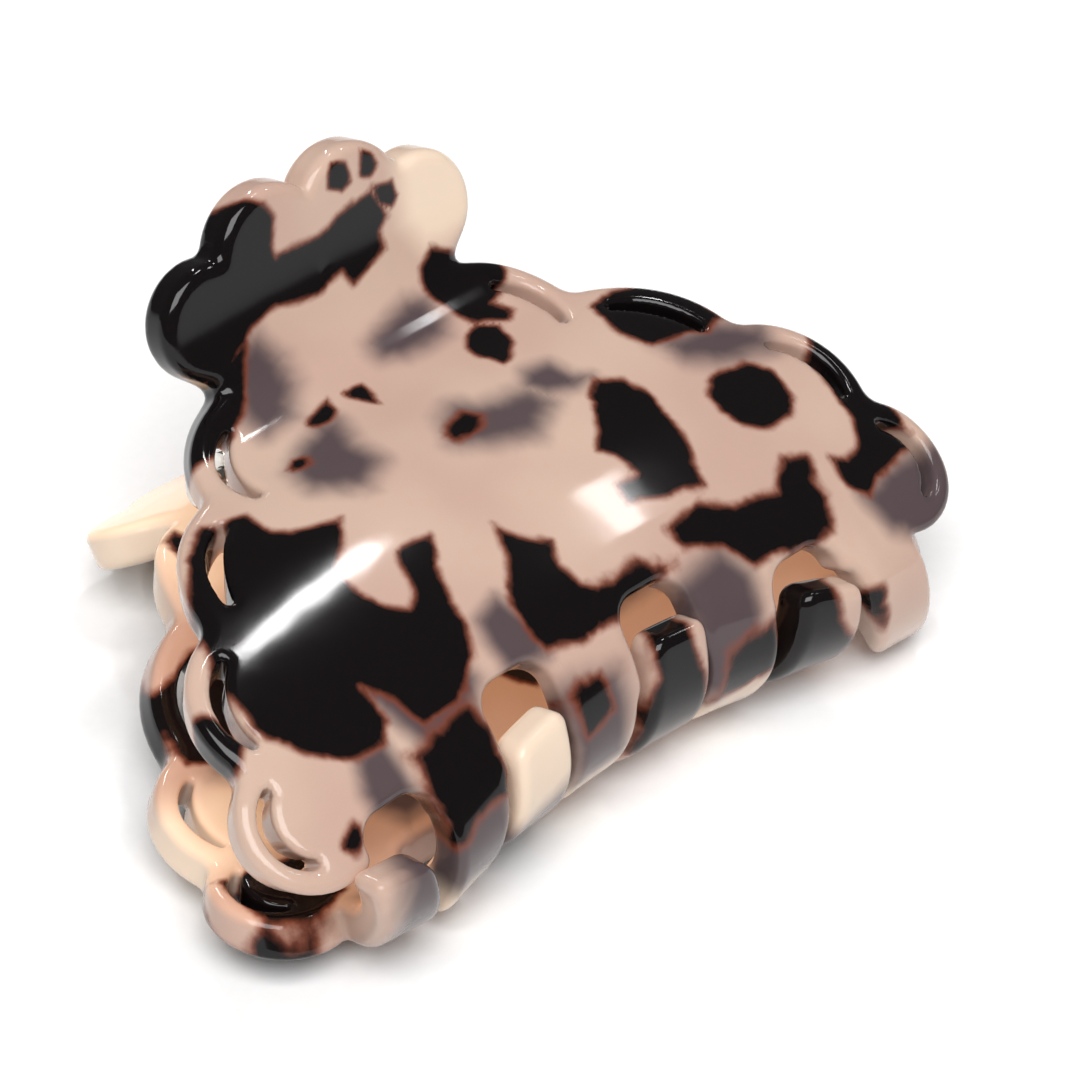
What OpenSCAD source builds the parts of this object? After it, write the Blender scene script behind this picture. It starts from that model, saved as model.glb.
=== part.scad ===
// Jaw-type hair clip: two pressed sheet jaws on a sprung hinge, resting on the rear jaw.
// The clip is drawn upright with the hinge along X, then laid down by place().

/* [Sheet and jaws] */
// thickness of the plastic sheet the jaws are cut from
sheet_t = 4; // [3:0.1:5]
// distance from the hinge axis to the middle of the sheet at the neck
neck_offset = 9.6; // [7:0.1:14]
// slope of the thumb tab away from the upright, degrees
tab_slope = 56; // [40:1:75]
// slope of the shoulder just below the neck, degrees
shoulder_slope = 17; // [5:1:60]
// radius of the crosswise bend of each jaw
cross_radius = 225; // [60:1:400]
// tilt of the crosswise bend axis, degrees
cross_tilt = -8; // [-40:1:80]
// distance along the sheet from the neck to the tooth tips
jaw_length = 54.4; // [50:1:70]

/* [Scalloped outline] */
// half the width of the neck
neck_half = 13.7; // [10:0.1:20]
// radius of the inner tab lobes
tab_inner_r = 6.2; // [4:0.1:10]
// radius of the outer tab lobes
tab_outer_r = 5.4; // [4:0.1:10]
// radius of the first side lobe, next to the neck
lobe_a_r = 9.5; // [5:0.1:12]
// radius of the second side lobe
lobe_b_r = 13; // [5:0.1:15]
// radius of the third side lobe
lobe_c_r = 8.8; // [5:0.1:14]
// radius of the last side lobe, at the widest place
lobe_d_r = 6.2; // [5:0.1:14]
// distance of each crescent slot from the lobe edge
slot_inset = 2.2; // [1.5:0.1:4]
// greatest width of each crescent slot
slot_w = 1.4; // [0.8:0.1:2.5]

/* [Teeth] */
// half the spacing of the teeth of one jaw
tooth_pitch = 8.2; // [6:0.1:10]
// half the width of a tooth where it leaves the jaw
tooth_root_half = 3.9; // [2.5:0.1:4.5]
// half the width of a tooth at its blunt end
tooth_tip_half = 3; // [1.5:0.1:3.5]
// distance along the sheet from the neck to the top of each gap
gap_top = 34.8; // [30:0.2:42]

/* [Hinge] */
// radius of the hinge pin
pin_r = 1.2; // [0.8:0.05:1.6]
// length of the pin shank between its two heads
pin_len = 31; // [20:0.5:36]
// radius of the domed pin heads
pin_head_r = 2.1; // [1.6:0.1:3]
// thickness of the bracket metal
leaf_t = 0.8; // [0.5:0.1:1.2]
// radial play of the pin in the front bracket ears
pin_play = 0.05; // [0.02:0.01:0.1]
// width of the bracket leaf along the hinge
leaf_w = 25; // [16:0.5:28]
// radius of the two screws that hold each bracket
screw_r = 0.9; // [0.6:0.1:1.4]

/* [Spring] */
// diameter of the spring wire
wire_d = 1.1; // [0.6:0.1:1.6]
// mean radius of the coil
coil_r = 3; // [2:0.1:4]
// number of turns in the coil
coil_turns = 14; // [6:1:20]

/* [Hidden] */
$fn = 64;
// slope of the sheet against distance along it, from tab to tooth tips
slopes = [[-40, -tab_slope], [-11, -tab_slope], [-4, -42], [3, 0], [9, shoulder_slope],
    [18, 1], [30, -10], [42, -42], [50, -114], [60, -132]];
// tab end of the sheet and the sampling step along it
sheet_top = -22;
step = 0.5;
// lobe centres: across the jaw, along the sheet, radius
tab_lobes = [[4.7, -12.6, tab_inner_r], [12.7, -9.4, tab_outer_r]];
side_lobes = [[12.4, 6.8, lobe_a_r], [19, 18.9, lobe_b_r],
    [30.2, 26.5, lobe_c_r], [35.4, 36.1, lobe_d_r]];
// direction of each crescent, degrees below straight sideways
slot_turn = [-30, -8, -6, 10];
// how much lower the outer gaps start than the inner ones
gap_drop = 0;
teeth = [-2.5, -0.5, 1.5, 3.5];
// screws: place along the sheet, across the jaw, and depth into the sheet
screw_s = 8;
screw_x = 7.5;
screw_depth = 2.4;
// leaf: first and last place along the sheet, half its turn about the bend axis
leaf_top = 4;
leaf_end = 12;
ear_r = 2.6;
coil_pitch = 1.25;
spring_leg = 9.2;
leg_rise = 4.8;
// resting pose: turn about the hinge direction and lift of the hinge axis
rest_turn = 73.8;
rest_lift = 20.44;
rest_shift = 11.85;

function slope(s) = lookup(s, slopes);
function down(s) = step * [sin(slope(s)), -cos(slope(s))];
// middle line of the sheet from the neck to the teeth, and from the neck to the tab end
below = [for (i = 0, p = [neck_offset, 0]; i <= 160; p = p + down((i + 0.5) * step), i = i + 1)
    [i * step, p[0], p[1]]];
above = [for (i = 0, p = [neck_offset, 0]; i <= 64; p = p - down(-(i + 0.5) * step), i = i + 1)
    [-i * step, p[0], p[1]]];
line = concat([for (i = [64:-1:1]) above[i]], below);
out_table = [for (q = line) [q[0], q[1]]];
up_table = [for (q = line) [q[0], q[2]]];
function out_at(s) = lookup(s, out_table);
function up_at(s) = lookup(s, up_table);
// centre of the crosswise bend, as distance outward and height
bend_c = [neck_offset - cross_radius * cos(cross_tilt), -cross_radius * sin(cross_tilt)];
// distance from the bend axis, and position along it
function rho(o, u) = (o - bend_c[0]) * cos(cross_tilt) + (u - bend_c[1]) * sin(cross_tilt);
function along(o, u) = -(o - bend_c[0]) * sin(cross_tilt) + (u - bend_c[1]) * cos(cross_tilt);
function face_out(s, d) = out_at(s) + d * cos(slope(s));
function face_up(s, d) = up_at(s) + d * sin(slope(s));
function side(s, d) = [rho(face_out(s, d), face_up(s, d)), along(face_out(s, d), face_up(s, d))];
// half angle of the bracket leaf about the bend axis
leaf_angle = leaf_w / 2 / rho(out_at(8), up_at(8)) * 180 / PI;
// places along the sheet where its outline is drawn
tab_stations = [for (s = [sheet_top:5:-6]) s];
neck_stations = [for (s = [-5:1.5:7]) s];
body_stations = [for (s = [9:3:30]) s];
tooth_stations = [for (s = [32:1.5:jaw_length]) s];
stations = concat(tab_stations, neck_stations, body_stations, tooth_stations);

// lays the upright clip down on the rear jaw and rear tab
module place() {
    translate([0, rest_shift, rest_lift])
        rotate([-rest_turn, 0, 0])
            children();
}

// puts children on the jaw: X across, Y up the sheet, Z outward
module at(x, s) {
    turn = x / rho(out_at(s), up_at(s)) * 180 / PI;
    c = [0, -bend_c[0], bend_c[1]];
    translate(c)
        rotate(a = turn, v = [0, sin(cross_tilt), cos(cross_tilt)])
            translate(-c)
                translate([0, -out_at(s), up_at(s)])
                    rotate([90 - slope(s), 0, 0])
                        children();
}

// the bent sheet before it is cut to shape
module bent_sheet(half_t) {
    outer = [for (s = stations) side(s, half_t)];
    inner = [for (i = [len(stations) - 1:-1:0]) side(stations[i], -half_t)];
    translate([0, -bend_c[0], bend_c[1]])
        rotate([-cross_tilt, 0, 0])
            rotate([0, 0, -90 - 30])
                rotate_extrude(angle = 60)
                    polygon(concat(outer, inner));
}

// solid that holds the tab outline
module tab_outline() {
    for (m = [-1, 1]) {
        for (q = tab_lobes) {
            at(m * q[0], q[1])
                cylinder(r = q[2], h = 14, center = true);
        }
    }
    at(0, -9)
        linear_extrude(12, center = true)
            polygon([[-neck_half, -9], [neck_half, -9], [neck_half, -4], [14, 1],
                [9, 7], [-9, 7], [-14, 1], [-neck_half, -4]]);
}

// solid that holds the scalloped body outline
module body_outline() {
    for (m = [-1, 1]) {
        for (q = side_lobes) {
            at(m * q[0], q[1])
                cylinder(r = q[2], h = 16, center = true);
        }
    }
    at(0, 14)
        linear_extrude(22, center = true)
            polygon([[-neck_half, 15], [neck_half, 15], [neck_half, 11], [20, -2], [26, -10], [33, -20],
                [30, -27], [-30, -27], [-33, -20], [-26, -10], [-20, -2], [-neck_half, 11]]);
}

// solid that holds the four teeth
module teeth_outline() {
    for (k = teeth) {
        at(k * tooth_pitch, 48)
            linear_extrude(32, center = true)
                polygon([[-tooth_root_half, 16], [tooth_root_half, 16], [tooth_root_half, 5],
                    [tooth_tip_half, -12], [-tooth_tip_half, -12], [-tooth_root_half, 5]]);
    }
}

// clears the four gaps that the teeth of the other jaw pass through
module gap_cutters() {
    r = tooth_pitch - tooth_root_half;
    for (k = teeth) {
        at(-k * tooth_pitch, gap_top + r + (abs(k) > 2 ? gap_drop : 0))
            linear_extrude(36, center = true)
                union() {
                    circle(r = r);
                    translate([-r, -30])
                        square([2 * r, 30]);
                }
    }
}

// crescent slots, one in each side lobe
module slots() {
    for (m = [-1, 1]) {
        for (i = [0:3]) {
            q = side_lobes[i];
            at(m * q[0], q[1])
                rotate([0, 0, m > 0 ? -slot_turn[i] : 180 + slot_turn[i]])
                    linear_extrude(14, center = true)
                        difference() {
                            circle(r = q[2] - slot_inset);
                            translate([-slot_w - 1.2, 0])
                                circle(r = q[2] - slot_inset + 1.2);
                        }
        }
    }
}

// one jaw in the front position
module jaw() {
    difference() {
        intersection() {
            bent_sheet(sheet_t / 2);
            union() {
                tab_outline();
                body_outline();
                teeth_outline();
            }
        }
        gap_cutters();
        slots();
        screw_sockets();
    }
}

// flat plate across the hinge, drawn outward and up
module plate(x, t) {
    translate([x + t, 0, 0])
        rotate([90, 0, -90])
            linear_extrude(t)
                children();
}

// metal or screw band that follows the inside of the sheet
module inner_band(d0, d1, s0, s1, half_angle) {
    path = [for (s = stations) if (s >= s0 && s <= s1) s];
    near = [for (s = path) side(s, -d0)];
    far = [for (i = [len(path) - 1:-1:0]) side(path[i], -d1)];
    translate([0, -bend_c[0], bend_c[1]])
        rotate([-cross_tilt, 0, 0])
            rotate([0, 0, -90 - half_angle])
                rotate_extrude(angle = 2 * half_angle)
                    polygon(concat(near, far));
}

// one bracket ear with its pin hole
module ear(x, hole_r) {
    back = -sheet_t / 2 - 0.9;
    p = [for (s = [leaf_top, leaf_end]) [face_out(s, back), face_up(s, back)]];
    plate(x, leaf_t)
        difference() {
            union() {
                circle(r = ear_r);
                polygon([[0.4, ear_r - 0.05], p[0], p[1], [-1.2, 0.35 - ear_r]]);
            }
            circle(r = hole_r);
        }
}

// one bracket in the front position
module bracket(hole_r) {
    difference() {
        inner_band(sheet_t / 2 + 0.03, sheet_t / 2 + leaf_t + 0.03, leaf_top, leaf_end, leaf_angle);
        screw_holes();
    }
    ear(-leaf_w / 2, hole_r);
    ear(leaf_w / 2 - 2 * leaf_t - 0.3, hole_r);
}

// the two screws of one bracket, driven from inside
module screws() {
    for (m = [-1, 1]) {
        at(m * screw_x, screw_s) {
            translate([0, 0, -sheet_t / 2 - leaf_t - 0.2])
                cylinder(r = screw_r, h = leaf_t + 0.2 + screw_depth);
            translate([0, 0, -sheet_t / 2 - leaf_t - 0.76])
                intersection() {
                    cylinder(r = 1.8 * screw_r, h = 0.6);
                    translate([0, 0, 2.2])
                        sphere(r = 2.5);
                }
        }
    }
}

// clearance for the screws through the leaf
module screw_holes() {
    for (m = [-1, 1]) {
        at(m * screw_x, screw_s)
            cylinder(r = screw_r + 0.05, h = 12, center = true);
    }
}

// blind holes for the screws in the back of the sheet
module screw_sockets() {
    for (m = [-1, 1]) {
        at(m * screw_x, screw_s)
            translate([0, 0, -sheet_t / 2 - 3])
                cylinder(r = screw_r + 0.05, h = screw_depth + 3.1);
    }
}

// round wire swept along a list of points, with a side direction at each
module wire(path, sides, r) {
    n = 6;
    last = len(path) - 1;
    dirs = [for (i = [0:last]) let (d = path[min(i + 1, last)] - path[max(i - 1, 0)]) d / norm(d)];
    rings = [for (i = [0:last]) let (b = cross(dirs[i], sides[i])) for (j = [0:n - 1])
        path[i] + r * (cos(j * 360 / n) * sides[i] + sin(j * 360 / n) * b)];
    skin = [for (i = [0:last - 1]) for (j = [0:n - 1])
        [i * n + j, i * n + (j + 1) % n, (i + 1) * n + (j + 1) % n, (i + 1) * n + j]];
    first_end = [for (j = [n - 1:-1:0]) j];
    last_end = [for (j = [0:n - 1]) last * n + j];
    polyhedron(rings, concat([first_end], skin, [last_end]), convexity = 10);
}

module spring_shape() {
    half = coil_turns * coil_pitch / 2;
    steps = coil_turns * 15;
    // both legs leave the top of the coil, one to each jaw
    coil = [for (i = [0:steps]) let (a = 90 + i * 24)
        [-half + i * coil_pitch / 15, coil_r * cos(a), coil_r * sin(a)]];
    coil_sides = [for (i = [0:steps]) let (a = 90 + i * 24) [0, cos(a), sin(a)]];
    path = concat([[-half - 0.2, spring_leg, leg_rise]], coil, [[half + 0.2, -spring_leg, leg_rise]]);
    wire(path, concat([coil_sides[0]], coil_sides, [coil_sides[steps]]), wire_d / 2);
}

module front_jaw() {
    color([0.78, 0.64, 0.57])
        place()
            jaw();
}

module rear_jaw() {
    color([0.78, 0.64, 0.57])
        place()
            rotate([0, 0, 180])
                jaw();
}

module front_bracket() {
    color([0.78, 0.78, 0.78])
        place()
            bracket(pin_r + pin_play);
}

module rear_bracket() {
    color([0.78, 0.78, 0.78])
        place()
            rotate([0, 0, 180])
                bracket(pin_r + 0.01);
}

module front_screws() {
    color([0.8, 0.8, 0.8])
        place()
            screws();
}

module rear_screws() {
    color([0.8, 0.8, 0.8])
        place()
            rotate([0, 0, 180])
                screws();
}

module hinge_pin() {
    color([0.82, 0.8, 0.76])
        place()
            rotate([0, 90, 0]) {
                cylinder(r = pin_r, h = pin_len, center = true);
                for (m = [-1, 1]) {
                    translate([0, 0, m * (pin_len / 2 - 0.4)])
                        intersection() {
                            cylinder(r = pin_head_r, h = 2.4, center = true);
                            translate([0, 0, -m * 1.2])
                                sphere(r = 2.6);
                        }
                }
            }
}

module hinge_spring() {
    color([0.83, 0.66, 0.33])
        place()
            spring_shape();
}

front_jaw();
rear_jaw();
front_bracket();
rear_bracket();
front_screws();
rear_screws();
hinge_pin();
hinge_spring();
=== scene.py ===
"""A sprung hair claw clip in pale tortoiseshell sheet, closed and lying on its rear jaw."""
import logging
import math
from dataclasses import dataclass
from enum import Enum
from typing import Any, Callable, Sequence

import bpy
import numpy as np
from mathutils import Matrix, Vector


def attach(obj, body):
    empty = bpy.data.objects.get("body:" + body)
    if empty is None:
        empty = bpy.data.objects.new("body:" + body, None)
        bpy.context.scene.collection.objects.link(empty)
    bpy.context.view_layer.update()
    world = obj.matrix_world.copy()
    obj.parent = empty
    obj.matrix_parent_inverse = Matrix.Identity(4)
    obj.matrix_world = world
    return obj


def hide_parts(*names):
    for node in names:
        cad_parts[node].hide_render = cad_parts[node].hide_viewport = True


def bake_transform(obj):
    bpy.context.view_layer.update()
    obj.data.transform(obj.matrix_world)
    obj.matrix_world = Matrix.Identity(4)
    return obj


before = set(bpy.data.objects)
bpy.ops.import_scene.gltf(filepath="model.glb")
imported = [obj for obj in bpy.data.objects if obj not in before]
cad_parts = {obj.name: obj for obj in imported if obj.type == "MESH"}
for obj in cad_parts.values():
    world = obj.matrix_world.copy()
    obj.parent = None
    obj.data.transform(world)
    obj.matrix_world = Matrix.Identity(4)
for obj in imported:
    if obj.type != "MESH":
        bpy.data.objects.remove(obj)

LOG = logging.getLogger("claw_clip")
MM = 0.001
Colour = tuple[float, float, float, float]


class Side(Enum):
    """Which jaw of the clip a piece belongs to."""

    FRONT = "front"
    REAR = "rear"


class Depth(Enum):
    """How a patch lies in the sheet."""

    INK = "ink"
    SMOKE = "smoke"
    CREAM = "cream"


# ---------------------------------------------------------------- shader writing


class Wire:
    """One socket of a shader, with arithmetic written as Python expressions."""

    def __init__(self, graph: "Graph", socket: bpy.types.NodeSocket) -> None:
        """Keeps the graph and the socket."""
        self.graph = graph
        self.socket = socket

    def _math(self, operation: str, *values: Any) -> "Wire":
        """Adds one Math node on values.

        Args:
            operation: the Math node's operation.
            values: the node's inputs, wires or numbers.

        Returns:
            The node's result.
        """
        return self.graph.node("ShaderNodeMath", {"operation": operation}, dict(enumerate(values)))

    def __add__(self, other: Any) -> "Wire":
        """Returns the sum."""
        return self._math("ADD", self, other)

    def __radd__(self, other: Any) -> "Wire":
        """Returns the sum."""
        return self._math("ADD", other, self)

    def __sub__(self, other: Any) -> "Wire":
        """Returns the difference."""
        return self._math("SUBTRACT", self, other)

    def __rsub__(self, other: Any) -> "Wire":
        """Returns the difference from a number."""
        return self._math("SUBTRACT", other, self)

    def __mul__(self, other: Any) -> "Wire":
        """Returns the product."""
        return self._math("MULTIPLY", self, other)

    def __rmul__(self, other: Any) -> "Wire":
        """Returns the product."""
        return self._math("MULTIPLY", other, self)

    def ramp(self, low: float, high: float) -> "Wire":
        """Returns a smooth step.

        Args:
            low: the value that gives 0.
            high: the value that gives 1; it may be the smaller.

        Returns:
            The smooth step between the two.
        """
        settings = {"interpolation_type": "SMOOTHSTEP"}
        if low < high:
            return self.graph.node("ShaderNodeMapRange", settings, {0: self, 1: low, 2: high})
        return 1.0 - self.graph.node("ShaderNodeMapRange", settings, {0: self, 1: high, 2: low})


class Graph:
    """The node tree of one material."""

    def __init__(self, name: str) -> None:
        """Makes an empty material.

        Args:
            name: the material's name.
        """
        self.material = bpy.data.materials.new(name)
        self.material.use_nodes = True
        self.tree = self.material.node_tree
        self.tree.nodes.clear()

    def node(self, kind: str, settings: dict[str, Any], values: dict[Any, Any], output: Any = 0) -> Wire:
        """Adds a node, sets it up and feeds its sockets.

        Args:
            kind: the node's type.
            settings: attributes set before anything else, such as an operation.
            values: numbers, colours or wires for the inputs, by name or place.
            output: the output that is handed back, by name or place.

        Returns:
            The chosen output.
        """
        made = self.tree.nodes.new(kind)
        for key, value in settings.items():
            setattr(made, key, value)
        for key, value in values.items():
            if isinstance(value, Wire):
                self.tree.links.new(value.socket, made.inputs[key])
            else:
                made.inputs[key].default_value = value
        return Wire(self, made.outputs[output])

    def attribute(self, name: str, output: str = "Fac") -> Wire:
        """Returns a value stored on the mesh."""
        return self.node("ShaderNodeAttribute", {"attribute_name": name}, {}, output)

    def noise(
        self, place: Wire, scale: float, detail: float = 2.0, rough: float = 0.5, bend: float = 0.0
    ) -> Wire:
        """Adds a noise texture.

        Args:
            place: where it is read.
            scale: its scale.
            detail: its octaves.
            rough: how strong the fine octaves are.
            bend: its distortion.

        Returns:
            Noise about 0.5.
        """
        values = {"Vector": place, "Scale": scale, "Detail": detail, "Roughness": rough, "Distortion": bend}
        return self.node("ShaderNodeTexNoise", {}, values, "Fac")

    def mix(self, amount: Any, first: Any, second: Any) -> Wire:
        """Mixes two colours.

        Args:
            amount: 0 gives the first, 1 the second.
            first: a colour or wire.
            second: a colour or wire.

        Returns:
            The mixed colour.
        """
        return self.node("ShaderNodeMix", {"data_type": "RGBA"}, {0: amount, 6: first, 7: second}, 2)

    def finish(self, values: dict[str, Any]) -> bpy.types.Material:
        """Ends the material in one Principled shader.

        Args:
            values: the shader's inputs.

        Returns:
            The finished material.
        """
        shader = self.node("ShaderNodeBsdfPrincipled", {}, values)
        self.node_output(shader)
        return self.material

    def node_output(self, shader: Wire) -> None:
        """Adds the material output."""
        made = self.tree.nodes.new("ShaderNodeOutputMaterial")
        self.tree.links.new(shader.socket, made.inputs["Surface"])


# ---------------------------------------------------------------- finishes


@dataclass(frozen=True)
class Tortoiseshell:
    """Glossy acetate sheet: a pinkish cream ground with ink and smoke in its depth, and a painted amber glow
    on its inner face for light carried inside the sheet.
    """

    name: str
    ground: Colour = (0.52, 0.37, 0.295, 1.0)
    cream: Colour = (0.74, 0.59, 0.46, 1.0)
    blush: Colour = (0.47, 0.315, 0.255, 1.0)
    glow: Colour = (1.0, 0.66, 0.40, 1.0)
    # painted glow: colour of the light the inner face gives off, in place of light carried inside the sheet
    smoke: Colour = (0.05, 0.036, 0.045, 1.0)
    rim: Colour = (0.17, 0.042, 0.022, 1.0)
    ink: Colour = (0.0045, 0.0032, 0.0035, 1.0)
    gloss: float = 0.09

    def material(self) -> bpy.types.Material:
        """Writes the material.

        Returns:
            A material that reads the patch fields stored on the jaw mesh.
        """
        g = Graph(self.name)
        place = g.attribute("sheet_mm", "Vector")
        wide = g.noise(place, 0.055, 2.0, 0.5)
        mid = g.noise(place, 0.26, 2.0, 0.5, 0.5)
        fine = g.noise(place, 1.5, 3.0, 0.6)
        grit = g.noise(place, 9.0, 2.0, 0.6)
        colour = g.mix(wide.ramp(0.36, 0.66), self.blush, self.ground)
        colour = g.mix(g.attribute("cream").ramp(0.0, 1.0), colour, self.cream)
        colour = g.mix((grit - 0.5) * 0.16, colour, (0.9, 0.8, 0.72, 1.0))
        haze = g.attribute("smoke") + (mid - 0.5) * 0.7
        cloud = haze.ramp(0.9, -0.75)
        colour = g.mix(cloud * 0.93, colour, self.smoke)
        field = g.attribute("ink") + (mid - 0.5) * 1.9 + (fine - 0.5) * 0.3
        rim = field.ramp(0.7, -0.3)
        core = field.ramp(0.15, -0.7)
        colour = g.mix(rim * 0.96, colour, self.rim)
        colour = g.mix(core, colour, self.ink)
        # painted glow: the inner face of the sheet emits warm amber light, standing in for light carried
        # inside the translucent sheet
        depth = g.node("ShaderNodeSeparateXYZ", {}, {0: place}, 2)
        painted_inner_glow = g.mix(depth.ramp(-0.9, -1.9), (0.0, 0.0, 0.0, 1.0), self.glow)
        multiply = {"data_type": "RGBA", "blend_type": "MULTIPLY"}
        painted_glow_emission = g.node("ShaderNodeMix", multiply, {0: 1.0, 6: painted_inner_glow, 7: colour}, 2)
        scratch = g.noise(place, 26.0, 2.0, 0.7)
        ripple = g.noise(place, 0.22, 1.0, 0.4)
        rough = (scratch - 0.5) * 0.05 + self.gloss
        height = ripple * 0.6 + scratch * 0.006
        bump = g.node("ShaderNodeBump", {}, {"Strength": 0.12, "Distance": 0.0004, "Height": height})
        values = {
            "Base Color": colour, "Roughness": rough, "Normal": bump, "IOR": 1.49,
            "Specular IOR Level": 0.27, "Coat Weight": 0.06, "Coat Roughness": 0.03,
            "Emission Color": painted_glow_emission, "Emission Strength": 0.55,
            "Subsurface Weight": 0.18, "Subsurface Radius": (1.0, 0.55, 0.4), "Subsurface Scale": 0.0012,
        }
        return g.finish(values)


@dataclass(frozen=True)
class Metal:
    """Plated or drawn metal with fine rubbing marks."""

    name: str
    tint: Colour
    worn: Colour
    gloss: float

    def material(self) -> bpy.types.Material:
        """Writes the material.

        Returns:
            A metal with fine streaks, mottling and small dents.
        """
        g = Graph(self.name)
        place = g.node("ShaderNodeTexCoord", {}, {}, "Object")
        stretch = {0: place, 1: (300.0, 2600.0, 2600.0)}
        long = g.node("ShaderNodeVectorMath", {"operation": "MULTIPLY"}, stretch)
        streak = g.noise(long, 1.0, 3.0, 0.6)
        blotch = g.noise(place, 420.0, 3.0, 0.6)
        colour = g.mix(blotch.ramp(0.42, 0.68), self.tint, self.worn)
        rough = (streak - 0.5) * 0.22 + (blotch - 0.5) * 0.12 + self.gloss
        height = streak * 0.5 + blotch
        bump = g.node("ShaderNodeBump", {}, {"Strength": 0.2, "Distance": 0.0001, "Height": height})
        return g.finish({"Base Color": colour, "Metallic": 1.0, "Roughness": rough, "Normal": bump})


@dataclass(frozen=True)
class Backdrop:
    """Matt white paper for the floor."""

    name: str = "white_paper"

    def material(self) -> bpy.types.Material:
        """Writes the material."""
        g = Graph(self.name)
        place = g.node("ShaderNodeTexCoord", {}, {}, "Object")
        grain = g.noise(place, 900.0, 2.0, 0.5)
        colour = g.mix(grain, (0.90, 0.90, 0.90, 1.0), (0.94, 0.94, 0.94, 1.0))
        return g.finish({"Base Color": colour, "Roughness": 0.9, "Specular IOR Level": 0.1})


# ---------------------------------------------------------------- the sheet's shape


@dataclass(frozen=True)
class SheetForm:
    """How flat sheet is bent into a jaw, in millimetres; out is away from the hinge, up towards the tab."""

    thickness: float = 4.0
    neck: float = 9.6
    bend_radius: float = 225.0
    bend_tilt: float = -8.0
    places: tuple[float, ...] = (-40, -11, -4, 3, 9, 18, 30, 36, 42, 50, 60)
    slopes: tuple[float, ...] = (-56, -56, -42, 0, 17, 1, -10, -27, -62, -116, -136)
    arch: float = 2.6
    turn: float = 73.8
    shift: float = 11.85
    lift: float = 20.44

    def profile(self) -> tuple[np.ndarray, np.ndarray, np.ndarray, np.ndarray]:
        """Works out the middle line of the sheet.

        Returns:
            Places along the sheet, distance out, height, and slope in radians.
        """
        s = np.arange(-45.0, 90.01, 0.25)
        raw = np.radians(np.interp(s, self.places, self.slopes))
        reach = np.arange(-12, 13)
        weight = np.exp(-0.5 * (reach * 0.25 / 1.2) ** 2)
        slope = np.convolve(np.pad(raw, 12, mode="edge"), weight / weight.sum(), mode="valid")
        out = np.concatenate([[0.0], np.cumsum(0.25 * np.sin((slope[1:] + slope[:-1]) / 2))])
        up = -np.concatenate([[0.0], np.cumsum(0.25 * np.cos((slope[1:] + slope[:-1]) / 2))])
        out += self.neck - np.interp(0.0, s, out)
        up -= np.interp(0.0, s, up)
        return s, out, up, slope

    def wrap(self, flat: np.ndarray, side: Side) -> np.ndarray:
        """Bends flat points into the jaw and lays the clip down.

        Args:
            flat: rows of across, along and depth, in millimetres.
            side: the jaw they belong to.

        Returns:
            Rows of x, y and z in metres.
        """
        s, out, up, slope = self.profile()
        tilt = math.radians(self.bend_tilt)
        c0 = self.neck - self.bend_radius * math.cos(tilt)
        c1 = -self.bend_radius * math.sin(tilt)
        k = np.clip((flat[:, 1] - 33.0) / 13.0, 0.0, 1.0)
        drop = self.arch * np.minimum(np.abs(flat[:, 0]) / 22.0, 1.25) ** 2 * k * k * (3 - 2 * k)
        o = np.interp(flat[:, 1] - drop, s, out)
        u = np.interp(flat[:, 1] - drop, s, up) - drop
        a = np.interp(flat[:, 1] - drop, s, slope)
        middle = (o - c0) * math.cos(tilt) + (u - c1) * math.sin(tilt)
        o = o + flat[:, 2] * np.cos(a)
        u = u + flat[:, 2] * np.sin(a)
        rho = (o - c0) * math.cos(tilt) + (u - c1) * math.sin(tilt)
        phi = flat[:, 0] / middle
        drop = rho * (1 - np.cos(phi))
        back, rise = o - math.cos(tilt) * drop, u - math.sin(tilt) * drop
        points = np.stack([rho * np.sin(phi), -back, rise], axis=1)
        if side is Side.REAR:
            points = points * np.array([-1.0, -1.0, 1.0])
        return self.lay_down(points)

    def lay_down(self, points: np.ndarray) -> np.ndarray:
        """Turns upright points into the resting pose.

        Args:
            points: rows in the upright clip, in millimetres.

        Returns:
            Rows in the resting pose, in metres.
        """
        a = math.radians(-self.turn)
        y = points[:, 1] * math.cos(a) - points[:, 2] * math.sin(a) + self.shift
        z = points[:, 1] * math.sin(a) + points[:, 2] * math.cos(a) + self.lift
        return np.stack([points[:, 0], y, z], axis=1) * MM


def blend_min(a: np.ndarray, b: np.ndarray, soft: float) -> np.ndarray:
    """Joins two distance fields with a soft crease.

    Args:
        a: first field.
        b: second field.
        soft: width of the crease.

    Returns:
        The joined field.
    """
    h = np.clip(0.5 + 0.5 * (b - a) / soft, 0.0, 1.0)
    return b * (1 - h) + a * h - soft * h * (1 - h)


def circle(x: np.ndarray, s: np.ndarray, centre: tuple[float, float], radius: float) -> np.ndarray:
    """Returns the distance to a circle, negative inside."""
    return np.hypot(x - centre[0], s - centre[1]) - radius


def polygon(x: np.ndarray, s: np.ndarray, corners: Sequence[tuple[float, float]]) -> np.ndarray:
    """Measures the distance to a closed polygon.

    Args:
        x: places across.
        s: places along.
        corners: the corners in order.

    Returns:
        The distance, negative inside.
    """
    best = np.full(x.shape, 1e9)
    inside = np.zeros(x.shape, bool)
    for (ax, ay), (bx, by) in zip(corners, list(corners[1:]) + [corners[0]]):
        ex, ey = bx - ax, by - ay
        k = np.clip(((x - ax) * ex + (s - ay) * ey) / (ex * ex + ey * ey), 0.0, 1.0)
        best = np.minimum(best, np.hypot(x - ax - k * ex, s - ay - k * ey))
        crosses = (ay > s) != (by > s)
        at = ax + (s - ay) / (by - ay if by != ay else 1e-9) * ex
        inside ^= crosses & (x < at)
    return np.where(inside, -best, best)


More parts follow.
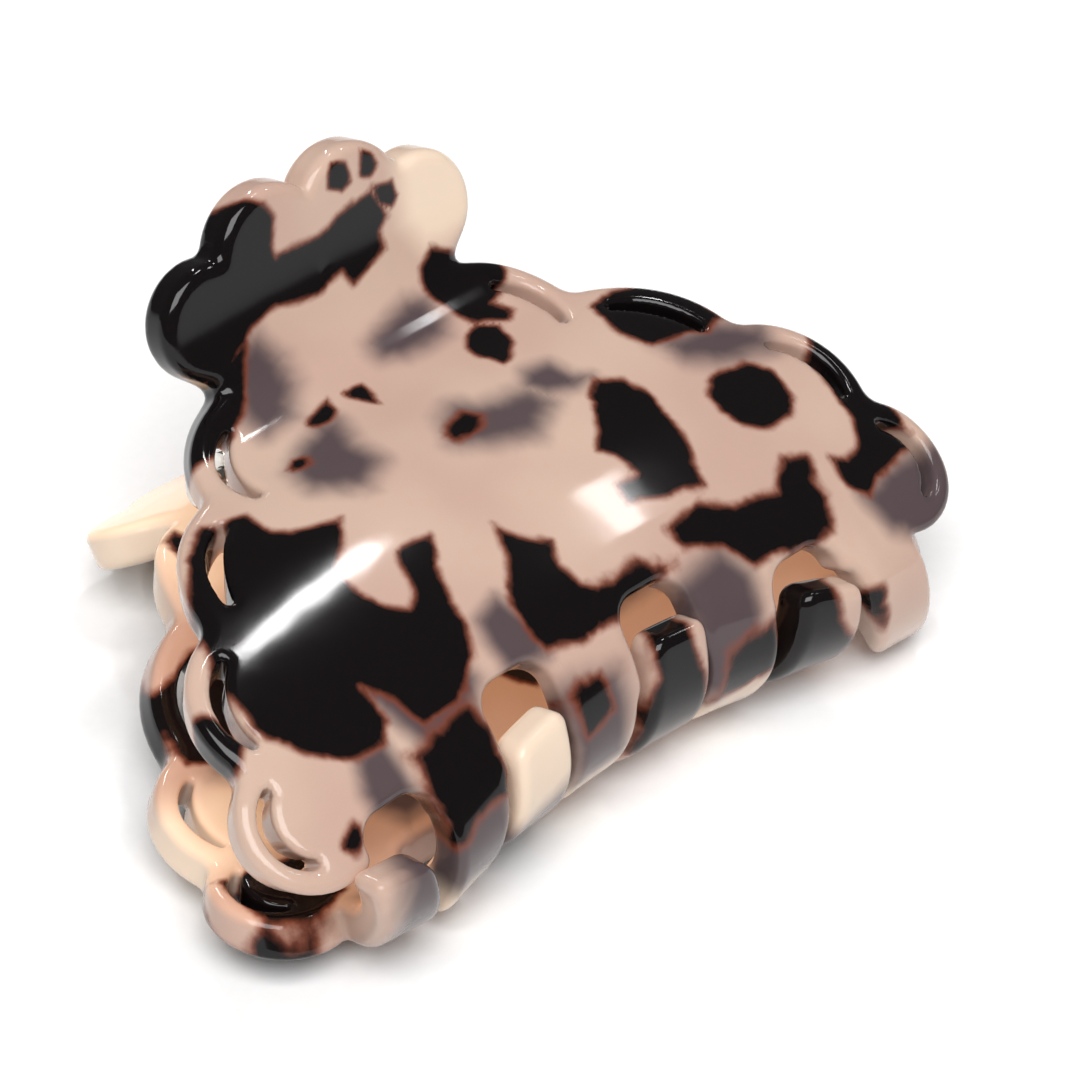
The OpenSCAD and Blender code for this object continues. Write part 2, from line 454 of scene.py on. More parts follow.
@dataclass(frozen=True)
class JawOutline:
    """The scalloped outline of a jaw on the flat sheet, with its slots, gaps and teeth."""

    neck_half: float = 13.7
    tab_lobes: tuple = ((4.7, -12.6, 6.2), (12.7, -9.4, 5.4))
    side_lobes: tuple = ((12.4, 6.8, 9.5), (19.0, 18.9, 13.0), (30.2, 26.5, 8.8), (35.4, 36.1, 6.6))
    slot_turn: tuple = (-18.0, -38.0, -20.0, 0.0)
    slot_inset: tuple = (3.0, 3.2, 2.8, 2.6)
    slot_half: float = 0.75
    slot_reach: float = 4.2
    tooth_pitch: float = 8.2
    teeth: tuple = (-2.5, -0.5, 1.5, 3.5)
    tooth_lean: tuple = (-1.6, -1.6, 0.2, 4.0)
    root_half: float = 4.3
    tip_half: float = 3.4
    gap_top: float = 34.8
    length: float = 54.4
    longer: tuple = (-0.4, 0.0, 0.0, 0.2)
    edge: float = 1.05

    def lobes(self, x: np.ndarray, s: np.ndarray) -> np.ndarray:
        """Measures the tab and body without teeth.

        Args:
            x: places across.
            s: places along.

        Returns:
            The distance to the outline, negative inside.
        """
        m = np.abs(x)
        n = self.neck_half
        core = [(-n, -9), (n, -9), (n + 0.6, 2), (20, 15), (27, 25), (33, 34), (31, 42), (26, 43)]
        core += [(-26, 43), (-31, 42), (-33, 34), (-27, 25), (-20, 15), (-n - 0.6, 2)]
        body = polygon(x, s, core) + 0.6
        tab = circle(m, s, self.tab_lobes[0][:2], self.tab_lobes[0][2])
        tab = blend_min(tab, circle(m, s, self.tab_lobes[1][:2], self.tab_lobes[1][2]), 1.2)
        side = np.full(x.shape, 1e9)
        for across, along, radius in self.side_lobes:
            side = blend_min(side, circle(m, s, (across, along), radius), 1.6)
        return blend_min(blend_min(body, side, 1.5), tab, 3.0)

    def tooth(self, x: np.ndarray, s: np.ndarray, number: int) -> np.ndarray:
        """Measures one tooth.

        Args:
            x: places across.
            s: places along.
            number: which tooth, from 0.

        Returns:
            The distance to the tooth, negative inside.
        """
        root = self.teeth[number] * self.tooth_pitch
        end = self.length + self.longer[number]
        k = np.clip((s - self.gap_top) / (end - self.gap_top), 0.0, 1.0)
        middle = root + self.tooth_lean[number] * k * k
        half = self.root_half + (self.tip_half - self.root_half) * k
        q0 = np.abs(x - middle) - half + 1.5
        q1 = np.abs(s - (end + 30) / 2) - (end - 30) / 2 + 1.5
        return np.minimum(np.maximum(q0, q1), 0) + np.hypot(np.maximum(q0, 0), np.maximum(q1, 0)) - 1.5

    def gap(self, x: np.ndarray, s: np.ndarray, number: int) -> np.ndarray:
        """Measures one gap between teeth.

        Args:
            x: places across.
            s: places along.
            number: which gap, from 0.

        Returns:
            The distance to the gap, negative inside.
        """
        middle = -self.teeth[number] * self.tooth_pitch
        half = self.tooth_pitch - self.root_half
        top = self.gap_top + (4.0 if abs(middle) > 15 else 0.0)
        q0 = np.abs(x - middle) - half + 2.6
        q1 = top - s + 2.6
        return np.minimum(np.maximum(q0, q1), 0) + np.hypot(np.maximum(q0, 0), np.maximum(q1, 0)) - 2.6

    def flat(self, x: np.ndarray, s: np.ndarray) -> np.ndarray:
        """Measures the whole outline without slots.

        Args:
            x: places across.
            s: places along.

        Returns:
            The distance to the outline, negative inside.
        """
        shape = self.lobes(x, s)
        for i in range(4):
            shape = blend_min(shape, self.tooth(x, s, i), 1.0)
        for i in range(4):
            shape = -blend_min(-shape, self.gap(x, s, i), 0.8)
        return shape

    def slots(self, x: np.ndarray, s: np.ndarray) -> np.ndarray:
        """Measures the crescent slots, one near the edge of each side lobe.

        Args:
            x: places across.
            s: places along.

        Returns:
            The distance to the nearest slot, negative inside.
        """
        m = np.abs(x)
        best = np.full(x.shape, 1e9)
        for (across, along, radius), turn, inset in zip(self.side_lobes, self.slot_turn, self.slot_inset):
            a = np.arctan2(s - along, m - across) - math.radians(turn)
            r = radius - inset
            reach = self.slot_reach / r
            k = np.clip(a, -reach, reach)
            px = across + r * np.cos(k + math.radians(turn))
            ps = along + r * np.sin(k + math.radians(turn))
            width = self.slot_half * (0.55 + 0.45 * np.cos(np.clip(k / reach, -1, 1) * 1.4))
            best = np.minimum(best, np.hypot(m - px, s - ps) - width)
        return best

    def solid(self, x: np.ndarray, s: np.ndarray, d: np.ndarray, thickness: float) -> np.ndarray:
        """Measures the tumbled solid cut from flat sheet.

        Args:
            x: places across.
            s: places along.
            d: depth from the middle of the sheet.
            thickness: thickness of the sheet.

        Returns:
            The distance to its surface, negative inside.
        """
        face = np.abs(d) - thickness / 2
        shape = self.round_off(self.flat(x, s), face, self.edge)
        return np.maximum(shape, self.round_off(-self.slots(x, s), face, 0.55))

    @staticmethod
    def round_off(wall: np.ndarray, face: np.ndarray, radius: float) -> np.ndarray:
        """Joins a wall and a face with a rounded edge.

        Args:
            wall: distance to the wall, negative inside.
            face: distance to the face, negative inside.
            radius: radius of the edge.

        Returns:
            The distance to the rounded solid.
        """
        q0, q1 = wall + radius, face + radius
        return np.minimum(np.maximum(q0, q1), 0) + np.hypot(np.maximum(q0, 0), np.maximum(q1, 0)) - radius


class Skin:
    """Makes a quad mesh on the zero surface of a distance field."""

    def __init__(
        self, field: Callable[..., np.ndarray], low: Sequence[float], high: Sequence[float], step: float
    ) -> None:
        """Keeps the field and the box.

        Args:
            field: distance to the solid, given three arrays.
            low: lowest corner of the box.
            high: highest corner of the box.
            step: size of a cell.
        """
        self.field = field
        self.axes = [np.arange(a, b + step, step) for a, b in zip(low, high)]
        self.step = step

    def build(self) -> tuple[np.ndarray, np.ndarray]:
        """Finds the surface.

        Returns:
            Vertices and quads.
        """
        grid = np.meshgrid(*self.axes, indexing="ij")
        value = self.field(*grid)
        inside = value < 0
        cells = tuple(n - 1 for n in value.shape)
        total = np.zeros(cells + (3,))
        count = np.zeros(cells)
        for axis in range(3):
            first, second = self._ends(axis)
            cut = inside[first] != inside[second]
            share = np.where(cut, value[first] / np.where(cut, value[first] - value[second], 1.0), 0.0)
            point = np.stack([g[first] for g in grid], axis=-1)
            point[..., axis] += share * self.step
            others = [a for a in range(3) if a != axis]
            for i in (0, 1):
                for j in (0, 1):
                    pick = [slice(None)] * 3
                    pick[others[0]] = slice(i, i + cells[others[0]])
                    pick[others[1]] = slice(j, j + cells[others[1]])
                    part = cut[tuple(pick)]
                    total += np.where(part[..., None], point[tuple(pick)], 0.0)
                    count += part
        used = count > 0
        index = np.full(cells, -1)
        index[used] = np.arange(used.sum())
        points = total[used] / count[used][:, None]
        quads = [self._quads(inside, index, axis) for axis in range(3)]
        return self._settle(points), np.concatenate(quads)

    @staticmethod
    def _ends(axis: int) -> tuple[tuple, tuple]:
        """Returns the slices of the two ends of every edge along an axis."""
        first, second = [slice(None)] * 3, [slice(None)] * 3
        first[axis], second[axis] = slice(None, -1), slice(1, None)
        return tuple(first), tuple(second)

    def _quads(self, inside: np.ndarray, index: np.ndarray, axis: int) -> np.ndarray:
        """Joins the cells around every cut edge along one axis.

        Args:
            inside: which grid points lie in the solid.
            index: the vertex of each cell.
            axis: the direction of the edges.

        Returns:
            Rows of four vertices, facing outward.
        """
        first, second = self._ends(axis)
        cut = inside[first] != inside[second]
        b, c = (axis + 1) % 3, (axis + 2) % 3
        where = np.argwhere(cut)
        keep = (where[:, b] > 0) & (where[:, c] > 0)
        keep &= (where[:, b] < inside.shape[b] - 1) & (where[:, c] < inside.shape[c] - 1)
        where = where[keep]
        ring = []
        for db, dc in ((1, 1), (0, 1), (0, 0), (1, 0)):
            near = where.copy()
            near[:, b] -= db
            near[:, c] -= dc
            ring.append(index[tuple(near.T)])
        quads = np.stack(ring, axis=1)
        flip = ~inside[first][tuple(where.T)]
        quads[flip] = quads[flip][:, ::-1]
        return quads

    def _settle(self, points: np.ndarray) -> np.ndarray:
        """Moves the vertices onto the surface.

        Args:
            points: the vertices.

        Returns:
            The moved vertices.
        """
        e = 0.05
        for _ in range(3):
            value = self.field(*points.T)
            slope = np.stack([
                self.field(*(points + e * axis).T) - self.field(*(points - e * axis).T) for axis in np.eye(3)
            ], axis=1) / (2 * e)
            size = np.maximum((slope ** 2).sum(axis=1), 0.25)
            move = slope * (value / size)[:, None]
            points = points - np.clip(move, -0.3, 0.3)
        return points


# ---------------------------------------------------------------- the pattern in the sheet


@dataclass(frozen=True)
class Patch:
    """One patch of colour in the sheet, drawn on the flat jaw in millimetres."""

    corners: tuple
    depth: Depth = Depth.INK
    soft: float = 0.8
    front: float = 0.0

    def measure(self, flat: np.ndarray) -> np.ndarray:
        """Measures how far points lie from the patch.

        Args:
            flat: rows of across, along and depth.

        Returns:
            The distance over the softness, negative inside.
        """
        below = 2.0 - flat[:, 2]
        x = flat[:, 0] + 0.32 * below
        s = flat[:, 1] - 0.22 * below
        far = polygon(x, s, self.corners)
        return (far + 0.16 * below + self.front) / self.soft


FRONT_PATTERN = (
    # tab
    Patch(((-20, -15), (-16, -17.5), (-12, -17), (-11, -19), (-7, -19.2), (-5, -17.6), (-4, -16),
           (-5.2, -13.5),
           (-5, -12.3), (0, -12.3), (2, -13), (4.5, -13.6), (6.8, -13.5), (7.5, -12), (8.2, -10.5),
           (6.8, -9.5),
           (6.8, -7.6), (5, -6.8), (2.2, -5.6), (1.5, -7.5), (-1, -7), (-4, -7.2), (-7, -7.8), (-10, -7),
           (-11.5, -5.5), (-13, -4), (-16, -4), (-20, -9))),
    Patch(((3.2, -18), (4.7, -17.2), (4.9, -15.3), (3.6, -14.8), (2.2, -15.8), (2.5, -17)), soft=0.6),
    Patch(((6, -15.5), (6.8, -17.8), (7.9, -16.8), (8.2, -15.6), (7.2, -14.8), (6.2, -15.2)), soft=0.6),
    Patch(((6.9, -14), (9.4, -13.4), (9.8, -12), (8.8, -11), (7.4, -12)), soft=0.6),
    # neck
    Patch(((-16, -5), (-10.5, -6), (-12, -2), (-13.5, 0.5), (-16, 2), (-18.5, 3), (-22, 2.5), (-22, 0),
           (-17, -2.5))),
    Patch(((-13, -5.5), (-9, -6), (-7.5, -3), (-7.5, 0.5), (-10, 3.5), (-13.5, 4),
           (-14, 1)), Depth.SMOKE, 2.4),
    Patch(((8.9, -2.1), (9.6, -4.3), (11.6, -5.9), (13.5, -4.6), (16, -2.5), (18.5, -1), (18, 0.8),
           (16.6, 2.2),
           (14.4, 3.3), (15.2, 5.1), (14.3, 6.1), (11.6, 4.6), (10.5, 2.9), (10, 1.2))),
    Patch(((7.7, 6.2), (9.3, 4.6), (11.6, 4.3), (13.5, 5.7), (12.9, 9), (10.7, 10.7), (9, 11.3), (8.5, 9.3),
           (7.8, 8.2)), front=0.6),
    Patch(((1, 0.5), (4, -1), (6.5, -2), (9, -1), (9.5, 2), (8, 4), (3, 4), (0.8, 3)), Depth.SMOKE, 2.2),
    Patch(((-10, 5), (-7.5, 4), (-5.8, 3.3), (-6.3, 5.5), (-7.5, 6.2), (-9.5, 6)), front=0.2),
    Patch(((-4.6, 4), (-2.2, 4.1), (-2.2, 5.5), (-2.8, 7.4), (-3.8, 6), (-4.6, 4.8)), soft=0.6),
    Patch(((-15, 9), (-12, 7), (-9, 5.8), (-7, 6.5), (-8, 10), (-7.5, 13), (-11, 14.5),
           (-15, 12)), Depth.SMOKE, 2.2),
    Patch(((-15.2, 8.5), (-13.5, 7.5), (-12, 8.5), (-12.5, 9.7), (-14.8, 9.6)), front=0.2),
    # middle
    Patch(((-1.4, 14.2), (0.2, 13), (2, 12.8), (3.3, 14.2), (2, 15), (-1, 15.2)), soft=1.0),
    Patch(((0, 12.5), (2, 11.5), (4, 13), (9, 14), (9.5, 16.5), (6, 18.5), (1, 17),
           (-1.5, 15)), Depth.SMOKE, 2.2),
    Patch(((8.5, 13.5), (10, 12), (13, 12.5), (13.5, 15), (15, 16), (12.5, 16.3),
           (10, 15.5)), Depth.SMOKE, 1.5),
    Patch(((-33, 17), (-30, 13), (-28, 11), (-25, 9), (-21, 10.5), (-21, 12.5), (-19.5, 14.3),
           (-14.8, 15.7),
           (-16.3, 17.5), (-19.5, 19.8), (-19, 22.5), (-18, 24.8), (-16.3, 26.2), (-15, 25), (-13.7, 21),
           (-9.8, 21.4), (-11.8, 25), (-12.9, 29), (-14.3, 32.4), (-18, 35), (-22, 35), (-23.2, 32),
           (-24.8, 29.5), (-24.5, 33), (-26, 34.5), (-29, 34.3), (-32.5, 32), (-35, 29), (-35, 23))),
    Patch(((-41, 24.5), (-38.5, 23.5), (-37, 25), (-36, 28), (-38, 30), (-41, 29))),
    Patch(((-26, 28), (-17, 27), (-15, 34), (-19, 38), (-23, 37)), Depth.SMOKE, 1.6),
    Patch(((-4.5, 23.2), (-3, 25.5), (-1, 27.6), (-2, 29.5), (-1.5, 32), (0.5, 33), (-2, 35.5),
           (-4, 36), (-8, 35),
           (-8.5, 33), (-8.5, 30.5), (-6, 27))),
    Patch(((-12, 30), (-9, 29), (-7.5, 33), (-8, 35.5), (-12, 35), (-12.5, 32)), Depth.SMOKE, 1.4),
    Patch(((-3, 32.3), (1.5, 32.8), (5, 32.4), (8, 34.5), (4, 35.8), (-2, 36)), soft=1.2),
    Patch(((12.1, 19.3), (12.9, 17.6), (14.9, 16.4), (17.1, 17.8), (18.3, 21), (17.1, 26.5), (15.8, 30),
           (11.5, 29.4),
           (8, 28), (8.2, 26), (10.7, 26), (10.2, 23.8), (9, 22.4), (10.7, 21))),
    Patch(((9.5, 31.5), (13, 31), (17, 32.5), (22, 33.4), (25, 31), (27.5, 32), (26.5, 34), (27, 36),
           (25.5, 38),
           (23, 39.5), (18, 37.5), (15.5, 38), (13.5, 35), (10, 33.5)), soft=1.0),
    Patch(((7, 36), (13, 35), (15, 38), (14, 43), (10, 48), (7, 46)), Depth.SMOKE, 2.0),
    # lower left
    Patch(((-34.8, 39.5), (-32.5, 38.3), (-32, 40), (-34, 40.6)), soft=0.8),
    Patch(((-29, 34), (-26, 34), (-26, 38), (-25, 41), (-27, 43), (-30, 41),
           (-30.4, 37)), Depth.SMOKE, 1.4),
    # right lobes
    Patch(((21.5, 9.3), (25, 8.5), (29, 10), (31, 14), (31.4, 16.8), (28.5, 17.5), (26.5, 16.5),
           (22.5, 16.3),
           (21.2, 13.5), (21.5, 11))),
    Patch(((23, 16), (30, 17), (34, 19.5), (33, 22), (28, 21), (24, 19)), Depth.SMOKE, 2.2),
    Patch(((22.8, 22.8), (25, 21.8), (29, 22), (30.7, 23.5), (30.5, 27), (29, 28.3), (26, 28.5), (23.5, 27),
           (22.6, 25))),
    Patch(((35, 25.5), (38, 21.5), (41, 26), (39.5, 31), (40, 34.5), (38, 35.4), (36, 36), (33, 36.5),
           (31, 37.7),
           (29.4, 36), (29.6, 33), (31, 34), (33, 33.5), (34.5, 31), (34.8, 28))),
    Patch(((30, 37), (36, 36), (42, 36), (41, 42), (35, 43.5), (31, 41)), Depth.SMOKE, 1.8),
    # teeth
    Patch(((-8, 39), (-6.5, 38.2), (-3.9, 38.5), (-3.6, 42), (-7, 42.6)), soft=0.9),
    Patch(((-9, 38), (-2, 39), (-2, 47), (-8, 48)), Depth.SMOKE, 2.2),
    Patch(((-25, 36), (-17, 35), (-17, 43), (-25, 45)), soft=1.3),
    Patch(((-26, 42), (-17, 42), (-17, 50), (-26, 50)), Depth.SMOKE, 2.4),
    Patch(((25, 44), (27.5, 45), (27.5, 50), (24, 50)), soft=0.9),
    Patch(((10, 43), (16, 42), (16, 47), (9, 48)), soft=1.3),
    # cream
    Patch(((10.5, -16), (19, -15), (19, -6), (13.5, -5.5), (11, -6), (9.5, -9)), Depth.CREAM, 2.0),
    Patch(((-27, 47), (-14, 47), (-14, 62), (-27, 62)), Depth.CREAM, 3.0),
    Patch(((-9, 47), (1, 46), (1, 60), (-10, 60)), Depth.CREAM, 3.0),
    Patch(((7, 49), (18, 48), (18, 60), (7, 60)), Depth.CREAM, 3.0),
)

REAR_PATTERN = (
    Patch(((-17, -12), (-6, -13), (-4, -7), (-13, -3))),
    Patch(((-4, -18), (3, -17), (4, -13), (-3, -12)), soft=1.0),
    Patch(((16, -3), (19.5, -2), (20, 1.5), (16, 2)), soft=0.9),
    Patch(((20, 8.5), (25, 8), (33, 11), (34, 19), (28, 22), (23, 18))),
    Patch(((19, 7), (33, 21), (27, 26), (20, 20)), Depth.SMOKE, 2.4),
    Patch(((-30, 8), (-18, 4), (-12, 10), (-18, 17), (-28, 15))),
    Patch(((-8, 8), (2, 7), (8, 14), (-2, 19))),
    Patch(((-4, 20), (4, 22), (0, 30), (-8, 28))),
    Patch(((8, 19), (16, 17), (18, 25), (10, 29))),
    Patch(((-30, 20), (-16, 22), (-18, 32), (-32, 32))),
    Patch(((-14, 16), (-4, 16), (-8, 27), (-18, 27)), Depth.SMOKE, 2.4),
    Patch(((14, 27), (24, 27), (22, 37), (14, 35)), Depth.SMOKE, 2.4),
    Patch(((31, 33), (42, 31), (42, 40), (38, 43), (32, 41))),
    Patch(((24, 42), (34, 41), (34, 60), (24, 60)), Depth.SMOKE, 2.6, 1.2),
    Patch(((-42, 28), (-34, 28), (-34, 38), (-42, 38))),
    Patch(((-26, 42), (-15, 40), (-15, 60), (-23, 60), (-22, 51), (-26, 47)), soft=1.0),
    Patch(((-9, 44), (0, 42), (0, 47), (-2, 51), (-1, 60), (-6, 60), (-7, 51)), soft=1.0),
    Patch(((8, 36), (17, 35), (17, 44), (8, 43)), soft=1.2),
    Patch(((7, 43), (18, 42), (18, 46), (7, 48)), Depth.SMOKE, 2.0),
    Patch(((7, 47), (18, 46), (18, 60), (7, 60)), Depth.CREAM, 2.6),
    Patch(((3, -20), (20, -20), (23, 5), (12, 8)), Depth.CREAM, 2.6),
    Patch(((28, 21), (42, 21), (42, 32), (30, 32)), Depth.CREAM, 2.6),
)


# ---------------------------------------------------------------- pieces


def new_mesh(name: str, points: np.ndarray, faces: np.ndarray) -> bpy.types.Object:
    """Makes a smooth mesh object.

    Args:
        name: the object's name.
        points: rows of x, y and z in metres.
        faces: rows of vertex numbers.

    Returns:
        The object, linked to the scene.
    """
    mesh = bpy.data.meshes.new(name)
    mesh.from_pydata(points.tolist(), [], faces.tolist())
    mesh.update()
    mesh.shade_smooth()
    made = bpy.data.objects.new(name, mesh)
    bpy.context.scene.collection.objects.link(made)
    return made


@dataclass
class Jaw:
    """One jaw: tab, scalloped body and four curled teeth in a single bent sheet."""

    side: Side
    form: SheetForm
    outline: JawOutline
    pattern: tuple
    step: float = 0.42

    def build(self) -> bpy.types.Object:
        """Builds the jaw's skin and stores the pattern on it.

        Returns:
            The jaw.
        """
        half = self.form.thickness / 2

        def field(x: np.ndarray, s: np.ndarray, d: np.ndarray) -> np.ndarray:
            """Returns the distance to the flat jaw."""
            return self.outline.solid(x, s, d, self.form.thickness)

        end = self.outline.length + max(self.outline.longer) + 1
        skin = Skin(field, (-44, -21, -half - 0.6), (44, end, half + 0.6), self.step)
        flat, quads = skin.build()
        points = self.form.wrap(flat, self.side)
        piece = new_mesh(f"{self.side.value}_jaw_sheet", points, quads[:, ::-1])
        self._store(piece.data, flat)
        return piece

    def _store(self, mesh: bpy.types.Mesh, flat: np.ndarray) -> None:
        """Stores places and patch distances on the mesh.

        Args:
            mesh: the jaw's mesh.
            flat: rows of across, along and depth of its vertices.
        """
        place = mesh.attributes.new("sheet_mm", "FLOAT_VECTOR", "POINT")
        shift = np.array([0.0, 0.0, 0.0]) if self.side is Side.FRONT else np.array([200.0, 90.0, 0.0])
        place.data.foreach_set("vector", (flat + shift).astype(np.float32).ravel())
        for depth in Depth:
            best = np.full(len(flat), 9.0)
            for patch in self.pattern:
                if patch.depth is depth:
                    best = np.minimum(best, patch.measure(flat))
            if depth is Depth.CREAM:
                best = np.clip(0.5 - best / 2, 0.0, 1.0)
            store = mesh.attributes.new(depth.value, "FLOAT", "POINT")
            store.data.foreach_set("value", best.astype(np.float32))

    def dress(self, piece: bpy.types.Object) -> None:
        """Finishes the jaw and puts it on its body.

        Args:
            piece: the jaw.
        """
        node = f"{self.side.value}_jaw"
        piece.data.materials.append(Tortoiseshell(f"{node}_tortoiseshell").material())
        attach(piece, self.side.value)
        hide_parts(node)


@dataclass
class Fittings:
    """The pressed brackets, screws and pin of the hinge, softened from their drawn solids."""

    edge: float = 0.12

    def soften(self, node: str) -> bpy.types.Object:
        """Copies a drawn solid with small rounded edges.

        Args:
            node: the node that is copied.

        Returns:
            The softened copy.
        """
        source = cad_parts[node]
        piece = bpy.data.objects.new(f"{node}_soft", source.data.copy())
        piece.data.materials.clear()
        bpy.context.scene.collection.objects.link(piece)
        bpy.context.view_layer.objects.active = piece
        weld = piece.modifiers.new("weld", "WELD")
        weld.merge_threshold = 0.00002
        flat = piece.modifiers.new("flat", "DECIMATE")
        flat.decimate_type = "DISSOLVE"
        flat.angle_limit = math.radians(4)
        soft = piece.modifiers.new("soft", "BEVEL")
        soft.width = self.edge * MM
        soft.segments = 2
        soft.limit_method = "ANGLE"
        soft.angle_limit = math.radians(40)
        with bpy.context.temp_override(object=piece, active_object=piece, selected_objects=[piece]):
            for modifier in list(piece.modifiers):
                bpy.ops.object.modifier_apply(modifier=modifier.name)
        return piece

    def dress(self, piece: bpy.types.Object, node: str, body: str, slot: str, metal: Metal) -> None:
        """Finishes a fitting and puts it on its body.

        Args:
            piece: the fitting.
            node: the node that it stands for.
            body: the body that it rides on.
            slot: not used.
            metal: its finish.
        """
        piece.data.materials.append(metal.material())
        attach(piece, body)
        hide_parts(node)


@dataclass
class TorsionSpring:
    """The wire spring round the hinge pin, with one leg against each jaw."""

    form: SheetForm
    wire: float = 1.1
    radius: float = 3.0
    turns: int = 14
    pitch: float = 1.25
    leg: float = 9.2
    rise: float = 4.8
    around: int = 10

    def path(self) -> np.ndarray:
        """Works out the middle line of the wire in the upright clip.

        Returns:
            Rows of points in millimetres.
        """
        half = self.turns * self.pitch / 2
        a = np.radians(90.0) + np.linspace(0, self.turns * 2 * math.pi, self.turns * 28 + 1)
        x = np.linspace(-half, half, len(a))
        coil = np.stack([x, self.radius * np.cos(a), self.radius * np.sin(a)], axis=1)
        k = np.linspace(1, 0.08, 10)[:, None]
        first = coil[0] + k * (np.array([-half - 0.2, self.leg, self.rise]) - coil[0])
        last = coil[-1] + k[::-1] * (np.array([half + 0.2, -self.leg, self.rise]) - coil[-1])
        return np.concatenate([first, coil, last])

    def build(self) -> bpy.types.Object:
        """Sweeps the round wire along its middle line.

        Returns:
            The spring.
        """
        path = self.path()
        step = np.gradient(path, axis=0)
        step /= np.linalg.norm(step, axis=1)[:, None]
        side = np.tile(np.array([1.0, 0.0, 0.0]), (len(path), 1))
        side -= step * (side * step).sum(axis=1)[:, None]
        side /= np.linalg.norm(side, axis=1)[:, None]
        other = np.cross(step, side)
        turn = np.linspace(0, 2 * math.pi, self.around, endpoint=False)
        ring = side[:, None] * np.cos(turn)[None, :, None] + other[:, None] * np.sin(turn)[None, :, None]
        points = (path[:, None] + ring * self.wire / 2).reshape(-1, 3)
        faces = []
        for i in range(len(path) - 1):
            for j in range(self.around):
                k = (j + 1) % self.around
                near, far = i * self.around, (i + 1) * self.around
                faces.append((near + j, near + k, far + k, far + j))
        last = (len(path) - 1) * self.around
        mesh = bpy.data.meshes.new("torsion_spring")
        ends = [tuple(range(self.around))[::-1], tuple(last + j for j in range(self.around))]
        mesh.from_pydata(self.form.lay_down(points).tolist(), [], faces + ends)
        mesh.update()
        mesh.shade_smooth()
        piece = bpy.data.objects.new("torsion_spring", mesh)
        bpy.context.scene.collection.objects.link(piece)
        return piece

    def dress(self, piece: bpy.types.Object, metal: Metal) -> None:
        """Finishes the spring.

        Args:
            piece: the spring.
            metal: its finish.
        """
        piece.data.materials.append(metal.material())
        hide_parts("hinge_spring")
        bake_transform(piece)


# ---------------------------------------------------------------- studio


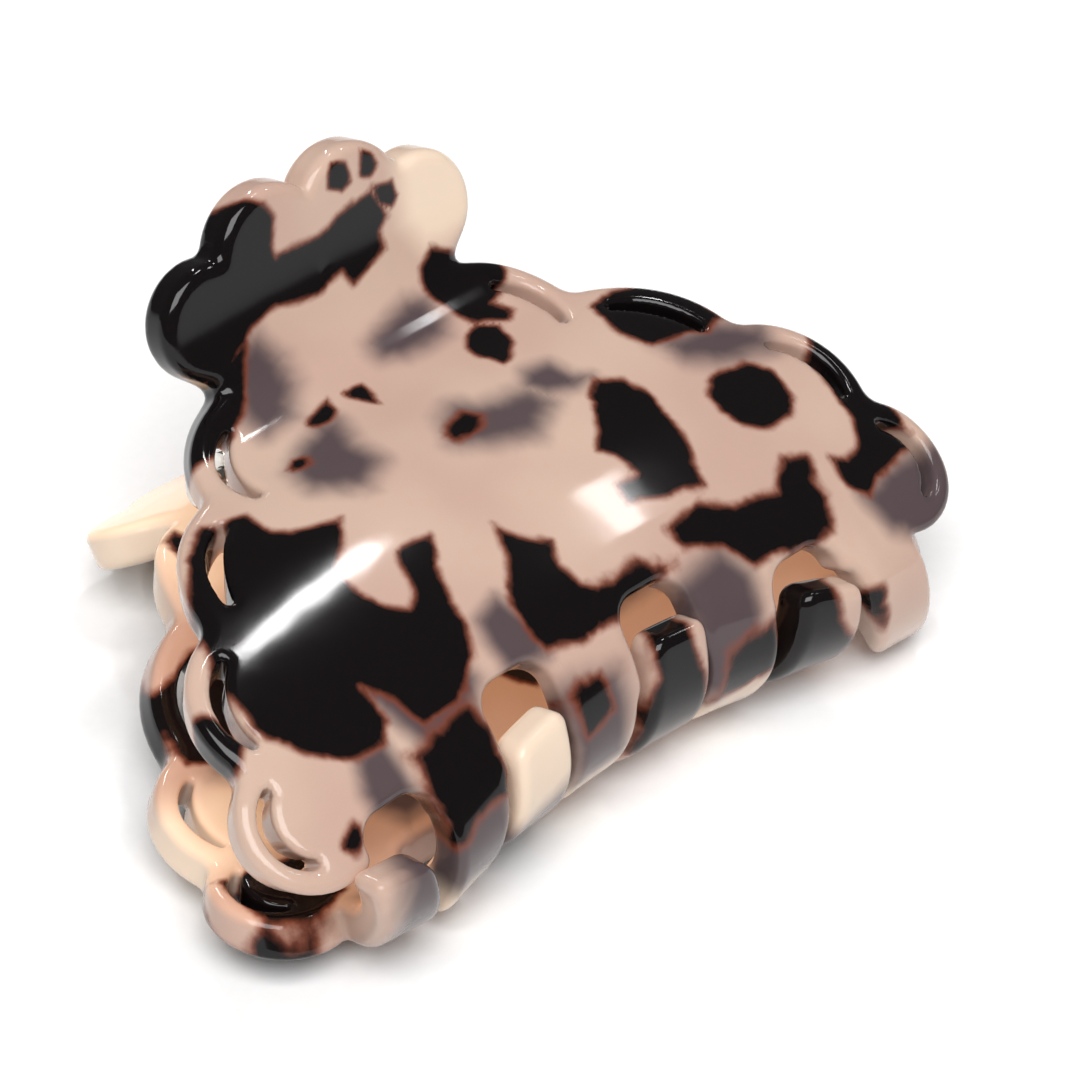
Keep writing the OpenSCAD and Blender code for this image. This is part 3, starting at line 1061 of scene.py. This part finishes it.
@dataclass
class Studio:
    """White floor, soft lights and the camera."""

    heading: float = 44.6
    height: float = 39.22
    distance: float = 0.6214
    lens: float = 232.9
    roll: float = 1.38
    target: tuple[float, float, float] = (0.0072, -0.0075, 0.015)

    def floor(self) -> None:
        """Lays the flat floor."""
        n = 24
        run = np.linspace(-3.0, 3.0, n)
        x, y = np.meshgrid(run, run, indexing="ij")
        points = np.stack([x.ravel(), y.ravel(), np.full(n * n, -0.0001)], axis=1)
        faces = []
        for i in range(n - 1):
            for j in range(n - 1):
                faces.append((i * n + j, (i + 1) * n + j, (i + 1) * n + j + 1, i * n + j + 1))
        floor = new_mesh("floor", points, np.array(faces))
        floor.data.materials.append(Backdrop().material())

    def lamp(
        self, name: str, towards: tuple[float, float], away: float, size: tuple[float, float],
        power: float, spin: float = 0.0,
    ) -> None:
        """Hangs one soft light.

        Args:
            name: the light's name.
            towards: its bearing from +X towards +Y and its height angle, in degrees.
            away: its distance from the clip.
            size: its width and height.
            power: its strength in watts.
            spin: its turn about its own axis, in degrees.
        """
        lamp = bpy.data.lights.new(name, "AREA")
        lamp.shape = "RECTANGLE"
        lamp.size, lamp.size_y = size
        lamp.energy = power
        a, e = (math.radians(v) for v in towards)
        way = Vector((math.cos(a) * math.cos(e), math.sin(a) * math.cos(e), math.sin(e)))
        made = bpy.data.objects.new(name, lamp)
        bpy.context.scene.collection.objects.link(made)
        turn = way.to_track_quat("Z", "Y").to_matrix() @ Matrix.Rotation(math.radians(spin), 3, "Z")
        spot = way * away + Vector((0, 0, 0.03))
        made.matrix_world = Matrix.LocRotScale(spot, turn.to_quaternion(), None)

    def lights(self) -> None:
        """Hangs the lights and sets the surrounding glow."""
        world = bpy.data.worlds.new("studio")
        world.use_nodes = True
        back = world.node_tree.nodes["Background"]
        back.inputs["Color"].default_value = (1.0, 1.0, 1.0, 1.0)
        back.inputs["Strength"].default_value = 0.12
        bpy.context.scene.world = world
        self.lamp("front_wash", (-133.0, 56.0), 1.6, (1.3, 1.0), 34.0)
        self.lamp("streak", (11.0, 70.5), 1.1, (0.055, 0.22), 2.2, 12.0)
        self.lamp("glint", (-11.0, 52.0), 1.1, (0.2, 0.04), 0.7, 15.0)
        self.lamp("rear_strip", (64.0, 36.0), 1.6, (0.06, 0.4), 3.2)

    def camera(self) -> None:
        """Sets the camera."""
        lens = bpy.data.cameras.new("camera")
        lens.lens = self.lens
        lens.sensor_width = 36.0
        lens.clip_start = 0.01
        made = bpy.data.objects.new("camera", lens)
        bpy.context.scene.collection.objects.link(made)
        a, e = math.radians(self.heading), math.radians(self.height)
        ahead = Vector((math.sin(a) * math.cos(e), math.cos(a) * math.cos(e), -math.sin(e)))
        spot = Vector(self.target) - ahead * self.distance
        turn = (-ahead).to_track_quat("Z", "Y").to_matrix() @ Matrix.Rotation(math.radians(self.roll), 3, "Z")
        made.matrix_world = Matrix.LocRotScale(spot, turn.to_quaternion(), None)
        bpy.context.scene.camera = made

    def set_up(self) -> None:
        """Sets up floor, lights and camera."""
        self.floor()
        self.lights()
        self.camera()
        bpy.context.scene.view_settings.view_transform = "Standard"


def main() -> None:
    """Builds every piece in order and reports it."""
    logging.basicConfig(level=logging.INFO, format="%(message)s")
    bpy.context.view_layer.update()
    form = SheetForm()
    outline = JawOutline()
    nickel = Metal("nickel_plate", (0.74, 0.72, 0.68, 1.0), (0.58, 0.56, 0.52, 1.0), 0.2)
    brass = Metal("brassy_wire", (0.78, 0.58, 0.24, 1.0), (0.62, 0.42, 0.15, 1.0), 0.22)
    for side, pattern in ((Side.FRONT, FRONT_PATTERN), (Side.REAR, REAR_PATTERN)):
        jaw = Jaw(side, form, outline, pattern)
        piece = jaw.build()
        jaw.dress(piece)
        LOG.info("%s: %d faces", piece.name, len(piece.data.polygons))
    fittings = Fittings()
    for node, body, slot in (
        ("front_bracket", "front", "bracket"), ("rear_bracket", "rear", "bracket"),
        ("front_screws", "front", "screw"), ("rear_screws", "rear", "screw"), ("hinge_pin", "rear", "pin"),
    ):
        piece = fittings.soften(node)
        fittings.dress(piece, node, body, slot, nickel)
        LOG.info("%s: %d faces", piece.name, len(piece.data.polygons))
    spring = TorsionSpring(form)
    piece = spring.build()
    spring.dress(piece, brass)
    LOG.info("%s: %d faces", piece.name, len(piece.data.polygons))
    Studio().set_up()


if __name__ == "__main__":
    main()
